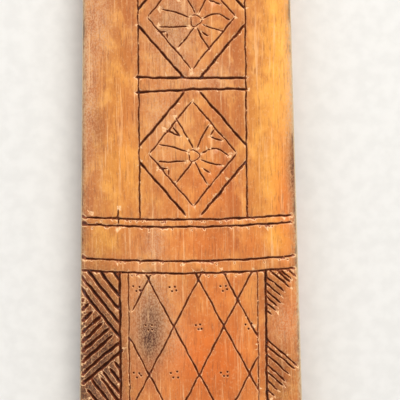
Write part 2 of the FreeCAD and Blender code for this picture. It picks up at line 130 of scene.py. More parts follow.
# The flower and the nicks of one lozenge, as strokes from its centre.
FLOWER = [
    [(-7, 2), (-4.5, 1.5), (-1, 0.3)],
    [(-7.5, -1.5), (-4.5, -1.7), (-1.2, -1.5)],
    [(1.5, 0), (4.5, 1), (7.5, -0.5)],
    [(1.5, -1.2), (3.5, -2), (6, -2.5)],
    [(-3.5, 7.5), (-1.5, 4), (0.2, 1)],
    [(3.5, 6), (2, 3.5), (0.8, 1)],
    [(0, -1.6), (-1.5, -3.5), (-3.5, -6)],
    [(0.4, -1.6), (1.5, -4), (3, -6.5)],
]
BOSS = [(-0.8, 0.6), (0.3, 0.7), (1.4, -0.4), (0.4, -1.4), (-0.7, -1.4), (-0.8, 0.6)]
NICKS = [
    [(-4.5, 6), (-2.5, 3.5)],
    [(-2.5, 3.5), (-5.5, 5)],
    [(4.5, 5), (3.5, 3.5)],
    [(3.5, 3.5), (6, 2.5)],
    [(-7, -3), (-5, -3)],
    [(-5, -3), (-5, -4.5)],
    [(2, -3), (3.5, -4)],
]

# Lines right across the board: their levels in the middle. Each rises towards the edges.
BANDS = (-14, -15.5, -22.5, -25, 98.5, 100, 107, 109, 125, 126.5, -105, -106.5)
BAND_RISE = 0.8
BAND_POINTS = 9
BAND_OVERRUN = 1.0
BAND_SHORTFALL = 0.4

# The lattice field, its upright lines with their widths, and the hatched side fields.
FIELD_TOP = -24.5
FIELD_BOTTOM = -105.0
FIELD_LINES = ((-14.3, 0.8), (-12.5, 0.5), (14.0, 0.45), (15.7, 0.75))
LATTICE_STEEPNESS = 1.9
LATTICE_PITCH = 19.5
LATTICE_FALLING = 1.1
LATTICE_ODD_LINE = 12.0
LATTICE_RISING = -34.0
LATTICE_GAP = 0.7
SHORTEST_SLANT = 1.5
LEFT_EDGE = -22.6
LEFT_FALL = -1.3
LEFT_RISE = 0.9
LEFT_TRIANGLE_TOP = -39.0
LEFT_TRIANGLE = 21.0
LEFT_BORDER_DROP = 10.0
LEFT_REPEATS = 3
RIGHT_FALL = -0.9
RIGHT_FIRST_BORDER = (16.2, -35.5)
RIGHT_TRIANGLE_TOP = -38.7
RIGHT_TRIANGLE = 17.5
RIGHT_BORDER_X = 17.0
RIGHT_BORDER_DROP = 12.5
RIGHT_REPEATS = 4

# Blocks of hatching: the first cut's level, the number of cuts, their pitch and steepness, and the border's.
LEFT_FIRST = (-26.5, 5, 3.0, LEFT_FALL, 0.0)
LEFT_RISING = (8.0, 9, 2.1, LEFT_RISE, LEFT_FALL)
LEFT_FALLING = (-6.0, 6, 2.4, LEFT_FALL, LEFT_RISE)
RIGHT_FIRST = (-20.0, 11, 1.4, RIGHT_FALL, 1.6)
RIGHT_FALLING = (0.0, 8, 1.7, RIGHT_FALL, 1.27)
HATCH_SPREAD = 0.35
HATCH_TILT = (0.93, 1.07)
HATCH_OVERRUN = (-0.5, 0.2)
SHORTEST_HATCH = 0.7

# Pricked dots in the middle of the lattice's diamonds.
DOT_PATTERN = ((-0.65, 0.35), (0.5, 0.5), (-0.1, -0.5), (0.7, -0.4))
DOT_RADIUS = 0.36
DOT_DEPTH = 0.5
DOT_BELOW_TOP = 3.6
DOT_REACH = 2.0
DOT_MARGIN = 1.7
DOT_ABOVE_BOTTOM = 3.0
DOT_PAST_TOP = 4.0
DOT_SCATTER = 0.1

# Ragged chips below a lozenge's lower right side, and along the bands.
CHIP_START = (11.2, -1.6)
CHIP_RUN = (-10.0, -11.2)
CHIP_SHARES = (0.1, 0.95)
CHIP_COUNT = 26
CHIP_SCATTER = 0.15
BAND_CHIP_COUNT = 24
BAND_CHIP_REACH = 21.0
BAND_CHIP_LEVEL = (-0.5, 0.2)
CHIP_RADIUS = 0.32
CHIP_DEPTH = 0.22

END_FIELD = (-10.5, 11.2, 109.2, 125.0)
END_HATCH_START = 148.3
END_HATCH_PITCH = 5.1
END_HATCH_COUNT = 11

# Width and depth of the knife cuts, how they wander and swell (wavelength, amount), and their fading ends.
BAND_CUT = (0.68, 0.5)
PANEL_CUT = (0.52, 0.45)
CROSSBAR_CUT = (0.78, 0.55)
OUTER_CUT = (0.75, 0.56)
INNER_CUT = (0.58, 0.42)
FLOWER_CUT = (0.54, 0.42)
BOSS_CUT = (0.46, 0.34)
NICK_CUT = (0.6, 0.46)
LATTICE_CUT = (0.6, 0.45)
LEFT_CUT = (1.0, 0.68)
RIGHT_CUT = (0.62, 0.5)
END_CUT = (0.7, 0.5)
FIELD_LINE_DEPTH = 0.75
WANDER = (9.0, 0.09)
SWELL = (8.0, 0.15)
JITTER = (0.018, 0.03)
NARROWEST = 0.1
END_DEPTH = 0.25
END_WIDTH = 0.45
BAND_TAPER = 0.3
DAMAGE_TAPER = 0.5

# Seeds of all that is random.
FIRST_SEED = 101
LOZENGE_SEED = 201
LOZENGE_SEED_STEP = 50
HATCH_SEED = 21
DOT_SEED = 7
CHIP_SEED = 11
BOARD_SEED = 3
NOSE_SEED = 5

# Small damage: the dark nicks where the lines run off the left edge, a crack and a nick near them.
DAMAGE = [
    ([(-23, -13), (-21.5, -13)], 1.1, 0.7),
    ([(-23, -14.5), (-21, -14.5)], 1.2, 0.8),
    ([(-23, -21.5), (-21.5, -21.5)], 1.1, 0.7),
    ([(-14.5, -11.5), (-14.5, -15.5)], 0.45, 0.5),
    ([(-20.5, -12), (-20, -12.5)], 0.6, 0.5),
]

# Soft stains of the face: X, Y, half-width, half-length in mm and strength, for each tint. The soot tint is
# partly painted shade: its long narrow patches hugging both long edges paint the shade of their rounding and
# of the darker left side. The honey tint is partly a painted highlight: its patches down the right side paint
# the light on the dome's right flank.
STAINS = {
    "ash": [
        (-21.5, 18, 3.2, 22, 0.8), (-18.5, 27, 3, 10, 0.6), (-7, -19, 2, 4.5, 0.6),
        (-3, 24, 5.5, 12, 0.55), (-5, 8, 4.5, 10, 0.4), (22, 12, 1.8, 26, 0.7),
        (-8, -34, 4.2, 9.5, 0.9), (-4, -38, 3, 6, 0.4), (19.5, -36, 3, 5, 0.5),
        (3, 15, 7, 3, 0.45), (-18, -60, 4, 18, 0.4), (0, 70, 5, 20, 0.4),
    ],
    "soot_and_shade": [
        (-8.2, -37, 3.3, 8, 0.85), (-20, -43, 7, 18, 1.15), (-23, -10, 1.6, 30, 0.75),
        (-22.7, 8, 1.4, 34, 0.8), (-23.6, -46, 1.6, 18, 1.15), (23.4, -46, 1.4, 14, 0.35),
        (-18.6, 5, 1.2, 4.5, 0.35), (-22.3, -18, 1.6, 4, 0.6), (21.6, -4, 0.9, 8, 0.75),
        (18.5, -46, 3.2, 7, 0.6), (18, -29, 2.6, 5, 0.5), (4, -48, 10, 5, 0.18),
        (-19, -75, 4.5, 22, 0.5), (-4, 26, 5, 6, 0.25), (19.5, -75, 3, 24, 0.4),
    ],
    "honey_and_highlight": [
        (19, 20, 3.6, 22, 0.8), (18, -4, 3.2, 9, 0.7), (15, 5, 3, 20, 0.45),
        (-14, -3, 5, 9, 0.45), (18.5, -18, 2.5, 3.2, 0.75), (-17.5, -18, 3.5, 3.2, 0.45),
        (-15, 14, 3.5, 12, 0.3), (16, 60, 5, 30, 0.5), (-15, 70, 5, 28, 0.4),
    ],
    "rust": [
        (4, -44, 11, 12, 0.85), (6, -30, 6, 7, 0.45), (5, -8, 6, 6, 0.4),
        (13, -19, 3, 4, 0.4), (20, -10, 2.2, 12, 0.7), (20, -33, 2.6, 7, 0.6),
        (3, -19, 8, 4, 0.45), (-12, -46, 2, 6, 0.3), (3, -75, 9, 26, 0.45),
        (-13, 2, 2, 14, 0.2),
    ],
}

# How a tint's powdery grain strengthens or weakens it.
GRAIN = {"ash": (0.42, 0.56, 0.35, 1.4), "soot_and_shade": (0.4, 0.6, 1.15, 0.65)}

# Colours in sRGB, 0 to 255.
WOOD_DARK = (170, 92, 42)
WOOD_MIDDLE = (204, 124, 58)
WOOD_LIGHT = (226, 156, 80)
# The soot tint is also painted shade and the honey tint also a painted highlight.
TINTS = {"ash": (206, 156, 116), "soot_and_shade": (76, 38, 20), "honey_and_highlight": (250, 178, 70), "rust": (214, 104, 30)}
STREAK_PALE = (238, 186, 132)
STREAK_DARK = (146, 78, 38)
PORE_DARK = (118, 64, 36)
# Inside the cuts: dirt with painted shade deep down, and a stain with painted shade on their walls.
CUT_DARK = (58, 28, 16)
CUT_STAIN_AND_SHADE = (128, 56, 24)
# Painted highlight on the shoulders of the cuts.
CUT_HIGHLIGHT_PALE = (238, 190, 140)
RIM_PALE = (206, 176, 134)
STRIP_DARK = (208, 178, 130)
STRIP_LIGHT = (234, 208, 164)
STRIP_BLOTCH = (176, 132, 86)
STRIP_SPECK = (96, 72, 52)
PIN_DARK = (104, 62, 36)
PIN_LIGHT = (152, 98, 58)
PIN_PORE = (58, 34, 22)
NOSE_DARK = (196, 148, 96)
NOSE_LIGHT = (224, 184, 132)
NOSE_STREAK = (150, 104, 62)
NOSE_FLECK = (128, 86, 52)
NOSE_HANDLED = (112, 70, 42)
HANDLED_LENGTH = 16.0
FLOOR_DARK = (214, 213, 210)
FLOOR_LIGHT = (220, 219, 216)

# The floor, the lights (place, size, power, colour) and the camera, in metres and degrees; its lens in mm.
SQUARE = ((-1, -1), (1, -1), (1, 1), (-1, 1))
FLOOR_REACH = 30.0
FLOOR_LEVEL = -0.0002
LIGHTS = {
    "key_light": ((0.25, 0.75, 0.65), 0.45, 10.0, (1.0, 0.97, 0.93)),
    "fill_light": ((-0.6, -0.5, 0.9), 0.9, 3.2, (1.0, 1.0, 1.0)),
}
LIGHT_TARGET = (0.0, -0.01, 0.012)
WORLD_STRENGTH = 0.6
CAMERA_PLACE = (0.00237, -0.010, 0.271)
CAMERA_TURN = -0.616
SENSOR_WIDTH = 36.0
LENS = 114.0

# ---- shape of the board and the nose

def board_half_width(y):
    """Half the board's width without the strips at a station."""
    return MID_HALF_WIDTH - STRIP_PROUD - SIDE_SLOPE * (y - WIDTH_STATION)


def face_height(x):
    """Height of the domed face."""
    return CROWN - DOME_RADIUS + np.sqrt(DOME_RADIUS ** 2 - x ** 2)


def nose_face_height(x, y):
    """Height of the nose's face, the dome tipped down towards the tip."""
    reach = JOINT_STATION - TIP_STATION
    return face_height(x) + (y - JOINT_STATION) * NOSE_DROP / reach


def smooth_noise(positions, seed, wavelength, amount):
    """Smooth random curve along a length, about +-amount."""
    source = np.random.default_rng(seed)
    total = np.zeros_like(positions)
    for octave in range(3):
        phase = source.uniform(0, 2 * math.pi, 2)
        stretch = wavelength / (1.7 ** octave)
        fast = np.sin(positions * 2 * math.pi / stretch + phase[0])
        total += fast * np.cos(positions * 2.1 / stretch + phase[1])
    return amount * total / 1.8


def resample(points):
    """Points along a polyline, about one cut step apart, its own points kept."""
    points = np.asarray(points, float)
    result = []
    for start, end in zip(points, points[1:]):
        count = max(1, int(round(np.linalg.norm(end - start) / CUT_STEP)))
        result += [start + (end - start) * index / count for index in range(count)]
    return np.array(result + [points[-1]])


def rounded(points):
    """A smooth curve through the points of a line."""
    points = np.asarray(points, float)
    if len(points) < 3:
        return points
    ends = np.vstack([2 * points[0] - points[1], points, 2 * points[-1] - points[-2]])
    curve = []
    for a, b, c, d in zip(ends, ends[1:], ends[2:], ends[3:]):
        for t in np.linspace(0, 1, 6)[:-1]:
            curve.append(0.5 * (2 * b + (c - a) * t + (2 * a - 5 * b + 4 * c - d) * t ** 2
                                + (3 * b - a - 3 * c + d) * t ** 3))
    curve.append(points[-1])
    return np.array(curve)


class Stroke:
    """One knife cut: its line, its width and its depth at each point."""

    def __init__(self, points, width, depth, seed, curved=False, taper=0.8):
        line = resample(rounded(points) if curved else points)
        source = np.random.default_rng(seed)
        along = np.concatenate([[0.0], np.cumsum(np.linalg.norm(np.diff(line, axis=0), axis=1))])
        direction = np.gradient(line, axis=0)
        direction /= np.linalg.norm(direction, axis=1)[:, None] + 1e-12
        side = np.stack([-direction[:, 1], direction[:, 0]], axis=1)
        wobble = smooth_noise(along, seed, *WANDER) + source.normal(0, JITTER[0], len(line))
        line = line + side * wobble[:, None]
        strength = 1 + smooth_noise(along, seed + 1, *SWELL) + source.normal(0, JITTER[1], len(line))
        ends = np.minimum(along, along[-1] - along)
        fade = np.clip(END_DEPTH + ends / taper, 0, 1)
        self.line = line
        self.side = side
        self.half = np.clip(0.5 * width * strength * (END_WIDTH + (1 - END_WIDTH) * fade), NARROWEST, None)
        self.depth = depth * strength * fade

    def samples(self):
        """Plan points along the cut: its bottom, half way up and both shoulders."""
        rows = []
        for share in (0.0, 1.0, -1.0, 0.45, -0.45):
            rows.append(self.line + self.side * (self.half * share)[:, None])
        return rows

    def carve(self, points, depth):
        """Deepen the depth array where the points lie in this cut."""
        margin = self.half.max()
        low = self.line.min(axis=0) - margin
        high = self.line.max(axis=0) + margin
        near = np.nonzero(((points > low) & (points < high)).all(axis=1))[0]
        if not len(near):
            return
        start, step = self.line[:-1], np.diff(self.line, axis=0)
        length = (step ** 2).sum(axis=1) + 1e-12
        for chunk in np.array_split(near, len(near) // 4000 + 1):
            offset = points[chunk][:, None, :] - start[None]
            t = np.clip((offset * step[None]).sum(axis=2) / length, 0, 1)
            gap = np.linalg.norm(offset - t[..., None] * step[None], axis=2)
            half = self.half[:-1] + t * np.diff(self.half)
            deep = self.depth[:-1] + t * np.diff(self.depth)
            cut = (deep * np.clip(1 - gap / half, 0, 1)).max(axis=1)
            depth[chunk] = np.maximum(depth[chunk], cut)


def band_line(level):
    """A line across the board that rises towards both edges, past the left one and short of the right."""
    reach = board_half_width(level)
    points = [(part * reach, level + BAND_RISE * part ** 2) for part in np.linspace(-1, 1, BAND_POINTS)]
    points[0] = (points[0][0] - BAND_OVERRUN, points[0][1])
    points[-1] = (points[-1][0] - BAND_SHORTFALL, points[-1][1])
    return points


def slanting_line(field, start, steepness):
    """A slanting line clipped to a field, or None outside it; start is its level at the field's left."""
    left, right, bottom, top = field
    crossings = sorted(left + (level - start) / steepness for level in (bottom, top))
    low, high = max(left, crossings[0]), min(right, crossings[1])
    if high - low < SHORTEST_SLANT:
        return None
    return [(x, start + (x - left) * steepness) for x in (low, high)]


def lattice_levels(first):
    """Levels of one family of lattice lines at the field's left."""
    span = (FIELD_LINES[2][0] - FIELD_LINES[1][0]) * LATTICE_STEEPNESS
    count = math.ceil((FIELD_TOP - FIELD_BOTTOM + span) / LATTICE_PITCH)
    return [first - LATTICE_PITCH * index for index in range(count)]


def lattice_lines():
    """Both families of the lattice, with its one odd line; the top rising line stops short."""
    field = (FIELD_LINES[1][0], FIELD_LINES[2][0], FIELD_BOTTOM, FIELD_TOP)
    falling = [slanting_line(field, level, -LATTICE_STEEPNESS)
               for level in [LATTICE_ODD_LINE] + lattice_levels(LATTICE_FALLING)]
    rising = [slanting_line(field, level, LATTICE_STEEPNESS) for level in lattice_levels(LATTICE_RISING)]
    start, end = rising[0]
    rising[0] = [(start[0] + LATTICE_GAP, start[1] + LATTICE_GAP * LATTICE_STEEPNESS), end]
    return [line for line in falling + rising if line]


def hatch_block(base, block, border, source, ceiling=None):
    """Roughly parallel cuts from an upright line at the base to a slanting border, none above the ceiling."""
    first, count, pitch, slope, border_slope = block
    base_x = base[0]
    lines = []
    for index in range(count):
        y = base[1] + first - pitch * index + source.uniform(-HATCH_SPREAD, HATCH_SPREAD)
        tilt = slope * source.uniform(*HATCH_TILT)
        start = (base_x, y)
        if ceiling is not None and y > ceiling:
            start = (base_x + (ceiling - y) / tilt, ceiling)
        end_x = (border[1] - start[1] + tilt * start[0] - border_slope * border[0]) / (tilt - border_slope)
        end_x += source.uniform(*HATCH_OVERRUN) * math.copysign(1, end_x - start[0])
        end = (end_x, start[1] + tilt * (end_x - start[0]))
        if abs(end[0] - start[0]) > SHORTEST_HATCH and end[1] > FIELD_BOTTOM:
            lines.append([start, end])
    return lines


def left_hatch(source):
    """The left side field: triangles of falling and rising cuts in turn."""
    line = FIELD_LINES[0][0]
    lines = hatch_block((line, 0.0), LEFT_FIRST, (LEFT_EDGE, FIELD_TOP), source)
    for index in range(LEFT_REPEATS):
        base = LEFT_TRIANGLE_TOP - LEFT_TRIANGLE * index
        lines += hatch_block((LEFT_EDGE, base), LEFT_RISING, (line, base), source)
        lines += hatch_block((line, base), LEFT_FALLING, (LEFT_EDGE, base - LEFT_BORDER_DROP), source)
    return lines


def right_hatch(source):
    """The right side field: triangles of falling cuts with rubbed bare wood between them."""
    line = FIELD_LINES[3][0]
    lines = hatch_block((line, 0.0), RIGHT_FIRST, RIGHT_FIRST_BORDER, source, FIELD_TOP)
    for index in range(RIGHT_REPEATS):
        base = RIGHT_TRIANGLE_TOP - RIGHT_TRIANGLE * index
        lines += hatch_block((line, base), RIGHT_FALLING, (RIGHT_BORDER_X, base - RIGHT_BORDER_DROP), source)
    return lines


def lozenge_sides():
    """The sides of the outer and of the inner outline of a lozenge."""
    wide, tall = OUTER_LOZENGE
    inner_wide, inner_tall = INNER_LOZENGE
    outer, inner = [], []
    for x_way in (-1, 1):
        for y_way in (-1, 1):
            outer.append([(x_way * OUTER_GAP, y_way * tall), (x_way * wide, y_way * OUTER_GAP)])
            inner.append([(0.0, y_way * inner_tall), (x_way * inner_wide, 0.0)])
    return outer, inner


def lozenge_strokes(index):
    """All cuts of one lozenge and its flower."""
    x = LOZENGE_CENTRE[0]
    y = LOZENGE_CENTRE[1] + LOZENGE_PITCH * index
    still = (0.0, 0.0)
    moved = FLOWER_SHIFTS[index]
    outer, inner = lozenge_sides()
    groups = (
        (outer, OUTER_CUT, still, False),
        (inner, INNER_CUT, still, False),
        (FLOWER, FLOWER_CUT, moved, True),
        ([BOSS], BOSS_CUT, moved, True),
        (NICKS, NICK_CUT, still, False),
    )
    seeds = itertools.count(LOZENGE_SEED + LOZENGE_SEED_STEP * index)
    strokes = []
    for lines, size, (dx, dy), curved in groups:
        for line in lines:
            points = [(x + dx + px, y + dy + py) for px, py in line]
            strokes.append(Stroke(points, *size, next(seeds), curved))
    return strokes


def carving():
    """Every knife cut of the face."""
    seeds = itertools.count(FIRST_SEED)
    strokes = [Stroke(band_line(level), *BAND_CUT, next(seeds), taper=BAND_TAPER) for level in BANDS]
    for x in PANEL[:2]:
        strokes.append(Stroke([(x, PANEL[2]), (x + PANEL_LEAN, PANEL[3])], *PANEL_CUT, next(seeds)))
    left, right = PANEL[0] - CROSSBAR_OVERRUN[0], PANEL[1] + CROSSBAR_OVERRUN[1]
    for index in range(LOZENGE_COUNT):
        strokes += lozenge_strokes(index)
        for rise, tilt in CROSSBARS[:1] if index == LOZENGE_COUNT - 1 else CROSSBARS:
            y = LOZENGE_CENTRE[1] + LOZENGE_PITCH * index + rise
            line = [(left, y - tilt), (LOZENGE_CENTRE[0], y + tilt), (right, y + tilt)]
            strokes.append(Stroke(line, *CROSSBAR_CUT, next(seeds)))
    for x, width in FIELD_LINES:
        line = [(x, FIELD_TOP), (x, FIELD_BOTTOM)]
        strokes.append(Stroke(line, width, FIELD_LINE_DEPTH * width, next(seeds)))
    source = np.random.default_rng(HATCH_SEED)
    end_lines = [slanting_line(END_FIELD, END_HATCH_START - END_HATCH_PITCH * index, -LATTICE_STEEPNESS)
                 for index in range(END_HATCH_COUNT)]
    groups = (
        (lattice_lines(), LATTICE_CUT),
        (left_hatch(source), LEFT_CUT),
        (right_hatch(source), RIGHT_CUT),
        ([line for line in end_lines if line], END_CUT),
    )
    for lines, size in groups:
        strokes += [Stroke(line, *size, next(seeds)) for line in lines]
    return strokes + [Stroke(*cut, next(seeds), taper=DAMAGE_TAPER) for cut in DAMAGE]


def diamond_centres():
    """The middle of each diamond of the lattice; those cut by the field's border have theirs moved inside."""
    left, right = FIELD_LINES[1][0], FIELD_LINES[2][0]
    centres = []
    for fall in [level + LATTICE_PITCH / 2 for level in lattice_levels(LATTICE_FALLING)]:
        for rise in [level + LATTICE_PITCH / 2 for level in lattice_levels(LATTICE_RISING)]:
            x = left + (fall - rise) / (2 * LATTICE_STEEPNESS)
            y = (fall + rise) / 2
            within = FIELD_BOTTOM + DOT_ABOVE_BOTTOM < y < FIELD_TOP + DOT_PAST_TOP
            if within and left - DOT_REACH < x < right + DOT_REACH:
                x = min(max(x, left + DOT_MARGIN), right - DOT_MARGIN)
                centres.append((x, min(y, FIELD_TOP - DOT_BELOW_TOP)))
    return centres


def dot_centres():
    """Where the pricked dots are."""
    source = np.random.default_rng(DOT_SEED)
    centres = []
    for x, y in diamond_centres():
        for dx, dy in DOT_PATTERN:
            centres.append((x + dx + source.normal(0, DOT_SCATTER), y + dy + source.normal(0, DOT_SCATTER)))
    return np.array(centres)


def chip_centres():
    """Where the chips beside the lozenges and along the bands are."""
    source = np.random.default_rng(CHIP_SEED)
    centres = []
    for index in range(LOZENGE_COUNT):
        x = LOZENGE_CENTRE[0] + CHIP_START[0]
        y = LOZENGE_CENTRE[1] + LOZENGE_PITCH * index + CHIP_START[1]
        for _ in range(CHIP_COUNT):
            t = source.uniform(*CHIP_SHARES)
            centres.append((x + CHIP_RUN[0] * t + source.normal(0, CHIP_SCATTER),
                            y + CHIP_RUN[1] * t + source.normal(0, CHIP_SCATTER)))
    for level in BANDS[:4]:
        for _ in range(BAND_CHIP_COUNT):
            x = source.uniform(-BAND_CHIP_REACH, BAND_CHIP_REACH)
            y = level + source.normal(*BAND_CHIP_LEVEL) + BAND_RISE * (x / MID_HALF_WIDTH) ** 2
            centres.append((x, y))
    return np.array(centres)


def carved_depth(points, strokes, pits):
    """How deep the face is cut at each plan point."""
    depth = np.zeros(len(points))
    for stroke in strokes:
        stroke.carve(points, depth)
    for centres, radius, deep in pits:
        for centre in centres:
            gap = np.linalg.norm(points - centre, axis=1)
            depth = np.maximum(depth, deep * np.clip(1 - (gap / radius) ** 2, 0, 1))
    return depth


# ---- outlines

def mark(points, x, y, inset_x, inset_y, depth=0.0, levels=STRIP_LEVELS, step_x=0.0, step_y=0.0):
    """Add one outline point: where it is, its rounding's inset, and its groove or tongue."""
    points.append((x, y, inset_x, inset_y, depth, levels[0], levels[1], step_x, step_y))


def joint_places(reach, edge):
    """Places across the joint, with one just inside and one just outside each edge of the mortise."""
    places = list(np.linspace(-reach + CORNER_MARGIN, reach - CORNER_MARGIN, JOINT_POINTS))
    return sorted(places + [side * (edge + gap) for side in (-1, 1) for gap in (-WALL_STEP, WALL_STEP)])


def side_marks(points, levels, side):
    """Points along the right (1) or the left (-1) side of the board, with its groove for the strip."""
    for y in levels:
        depth = STRIP_DEPTH if STRIP_SPAN[0] < y < STRIP_SPAN[1] else 0.0
        x = side * board_half_width(y)
        mark(points, x, y, -side * BOARD_SOFT, 0.0, depth, STRIP_LEVELS, -side, 0.0)


def board_outline():
    """The board's outline, anticlockwise from the left of the joint, with its grooves and its mortise."""
    points = []
    half = board_half_width(JOINT_STATION)
    edge = TONGUE_HALF_WIDTH + FIT
    mark(points, -half, JOINT_STATION, BOARD_SOFT, CRISP)
    for x in joint_places(half - BOARD_SOFT, edge):
        depth = TONGUE_LENGTH + FIT if abs(x) < edge else 0.0
        mark(points, x, JOINT_STATION, 0.0, CRISP, depth, TONGUE_LEVELS, 0.0, 1.0)
    mark(points, half, JOINT_STATION, -BOARD_SOFT, CRISP)
    count = int((SHOULDER_STATION - JOINT_STATION) / LOOP_STEP)
    levels = list(np.linspace(JOINT_STATION, SHOULDER_STATION, count + 1)[1:-1])
    levels = sorted(levels + [span + gap for span in STRIP_SPAN for gap in (-WALL_STEP, WALL_STEP)])
    side_marks(points, levels, 1.0)
    half = board_half_width(SHOULDER_STATION)
    rise = END_STATION - SHOULDER_STATION
    radius = (half ** 2 + rise ** 2) / (2 * rise)
    sweep = math.asin(half / radius)
    for angle in np.linspace(sweep, -sweep, END_POINTS):
        x, y = radius * math.sin(angle), END_STATION - radius + radius * math.cos(angle)
        mark(points, x, y, -BOARD_SOFT * math.sin(angle), -BOARD_SOFT * math.cos(angle))
    side_marks(points, levels[::-1], -1.0)
    return np.array(points)


def corner_marks(points, side, first_turn, last_turn):
    """Points round the right (1) or the left (-1) corner of the tip, between two half turns."""
    half = board_half_width(TIP_STATION + NOSE_CORNER)
    for angle in np.linspace(first_turn * math.pi, last_turn * math.pi, CORNER_POINTS):
        c, s = math.cos(angle), math.sin(angle)
        x = side * (half - NOSE_CORNER * (1 - side * c))
        mark(points, x, TIP_STATION + NOSE_CORNER * (1 + s), -NOSE_SOFT * c, -NOSE_SOFT * s)


def notch_marks(points, centre, width):
    """Points round one notch of the tip, from left to right."""
    radius = width / 2
    end = TIP_STATION + NOTCH_LENGTH - radius
    levels = np.linspace(TIP_STATION + NOSE_SOFT + CORNER_MARGIN, end, NOTCH_SIDE_POINTS)
    mark(points, centre - radius, TIP_STATION, -NOTCH_SOFT, NOSE_SOFT)
    for y in levels:
        mark(points, centre - radius, y, -NOTCH_SOFT, 0.0)
    for angle in np.linspace(math.pi, 0, NOTCH_END_POINTS)[1:-1]:
        c, s = math.cos(angle), math.sin(angle)
        mark(points, centre + radius * c, end + radius * s, NOTCH_SOFT * c, NOTCH_SOFT * s)
    for y in levels[::-1]:
        mark(points, centre + radius, y, NOTCH_SOFT, 0.0)
    mark(points, centre + radius, TIP_STATION, NOTCH_SOFT, NOSE_SOFT)


def nose_outline():
    """The nose's outline, anticlockwise from the left of its tip, with the notches and the tongue."""
    points = []
    corner_top = TIP_STATION + NOSE_CORNER
    corner_marks(points, -1.0, 1.0, 1.5)
    for centre, width in NOTCHES:
        notch_marks(points, centre, width)
    corner_marks(points, 1.0, 1.5, 2.0)
    for y in np.linspace(corner_top, JOINT_STATION, NOSE_SIDE_POINTS)[1:-1]:
        mark(points, board_half_width(y), y, -NOSE_SOFT, 0.0)
    half = board_half_width(JOINT_STATION)
    mark(points, half, JOINT_STATION, -NOSE_SOFT, -CRISP)
    for x in joint_places(half - NOSE_SOFT, TONGUE_HALF_WIDTH)[::-1]:
        depth = TONGUE_LENGTH if abs(x) < TONGUE_HALF_WIDTH else 0.0
        mark(points, x, JOINT_STATION, 0.0, -CRISP, depth, TONGUE_LEVELS, 0.0, 1.0)
    mark(points, -half, JOINT_STATION, NOSE_SOFT, -CRISP)
    for y in np.linspace(JOINT_STATION, corner_top, NOSE_SIDE_POINTS)[1:-1]:
        mark(points, -board_half_width(y), y, NOSE_SOFT, 0.0)
    return np.array(points)


# ---- meshes

class Surface:
    """Vertices, faces and how deep each vertex is cut. Points at the same place share one vertex."""

    def __init__(self):
        self.vertices = []
        self.numbers = {}
        self.cut = []
        self.rim = {}
        self.faces = []

    def vertex(self, place, cut):
        """The number of the vertex at a place."""
        if place not in self.numbers:
            self.numbers[place] = len(self.vertices)
            self.vertices.append(place)
            self.cut.append(cut)
        return self.numbers[place]

    def ring(self, plan, heights, cut=None):
        """The numbers of a closed row of vertices."""
        cut = np.zeros(len(plan)) if cut is None else cut
        return [self.vertex((x, y, z), depth) for (x, y), z, depth in zip(plan, heights, cut)]

    def plan(self, row):
        """Where a row's vertices are in plan."""
        return np.array([self.vertices[index][:2] for index in row])

    def face(self, corners):
        """Add a face without its repeated corners, if at least three are left."""
        distinct = tuple(dict.fromkeys(corners))
        if len(distinct) > 2:
            self.faces.append(distinct)

    def bridge(self, upper, lower):
        """Join two rows of the same length with four-sided faces."""
        count = len(upper)
        for index in range(count):
            after = (index + 1) % count
            self.face((lower[index], lower[after], upper[after], upper[index]))


def even_odd(points, outline):
    """Which plan points lie inside an outline."""
    inside = np.zeros(len(points), bool)
    x, y = points.T
    for (ax, ay), (bx, by) in zip(outline, np.roll(outline, -1, axis=0)):
        if ay == by:
            continue
        crosses = (ay > y) != (by > y)
        inside ^= crosses & (x < (bx - ax) * (y - ay) / (by - ay) + ax)
    return inside


def cell(point):
    """The square of a fine grid that a plan point is in."""
    return int(point[0] // CLOSEST), int(point[1] // CLOSEST)


def spread_out(groups, taken):
    """Keep plan points, earlier groups first, that aren't too near a kept one."""
    kept = []
    cells = {}
    for point in taken:
        cells.setdefault(cell(point), []).append(tuple(point))
    around = [(i, j) for i in (-1, 0, 1) for j in (-1, 0, 1)]
    for x, y in (point for group in groups for point in group):
        cx, cy = cell((x, y))
        near = (other for i, j in around for other in cells.get((cx + i, cy + j), ()))
        if all((other_x - x) ** 2 + (other_y - y) ** 2 >= CLOSEST ** 2 for other_x, other_y in near):
            cells.setdefault((cx, cy), []).append((x, y))
            kept.append((x, y))
    return np.array(kept)


def left_of(triangles, walls):
    """Which anticlockwise triangles lie left of the walls, spreading from those beside a wall."""
    beside = {}
    for index, (a, b, c) in enumerate(triangles):
        for edge in ((a, b), (b, c), (c, a)):
            beside[edge] = index
    waiting = [beside[edge] for edge in walls]
    keep = set(waiting)
    while waiting:
        a, b, c = triangles[waiting.pop()]
        for edge in {(a, b), (b, c), (c, a)} - walls:
            neighbour = beside.get(edge[::-1])
            if neighbour is not None and neighbour not in keep:
                keep.add(neighbour)
                waiting.append(neighbour)
    return sorted(keep)


def fill(surface, rows, samples, height, upward):
    """Close the space between an outer row and the hole rows with triangles through the sample points."""
    border = [index for row in rows for index in row]
    edges = []
    first = 0
    for row in rows:
        edges += [(first + i, first + (i + 1) % len(row)) for i in range(len(row))]
        first += len(row)
    points = [Vector(p) for p in surface.plan(border)] + [Vector(p) for p in samples]
    made, _, triangles, origins, *_ = geometry.delaunay_2d_cdt(points, edges, [], 0, 1e-7, True)
    made = np.array([tuple(p) for p in made])
    where = {source: index for index, sources in enumerate(origins) for source in sources}
    outer = len(rows[0])
    walls = {(where[a], where[b]) if a < outer else (where[b], where[a]) for a, b in edges}
    number = {where[index]: vertex for index, vertex in reversed(list(enumerate(border)))}
    free = [index for index in range(len(made)) if index not in number]
    if free:
        heights, cut = height(made[free])
        number.update(zip(free, surface.ring(made[free], heights, cut)))
    for index in left_of(triangles, walls):
        a, b, c = (number[i] for i in triangles[index])
        surface.face((a, b, c) if upward else (a, c, b))


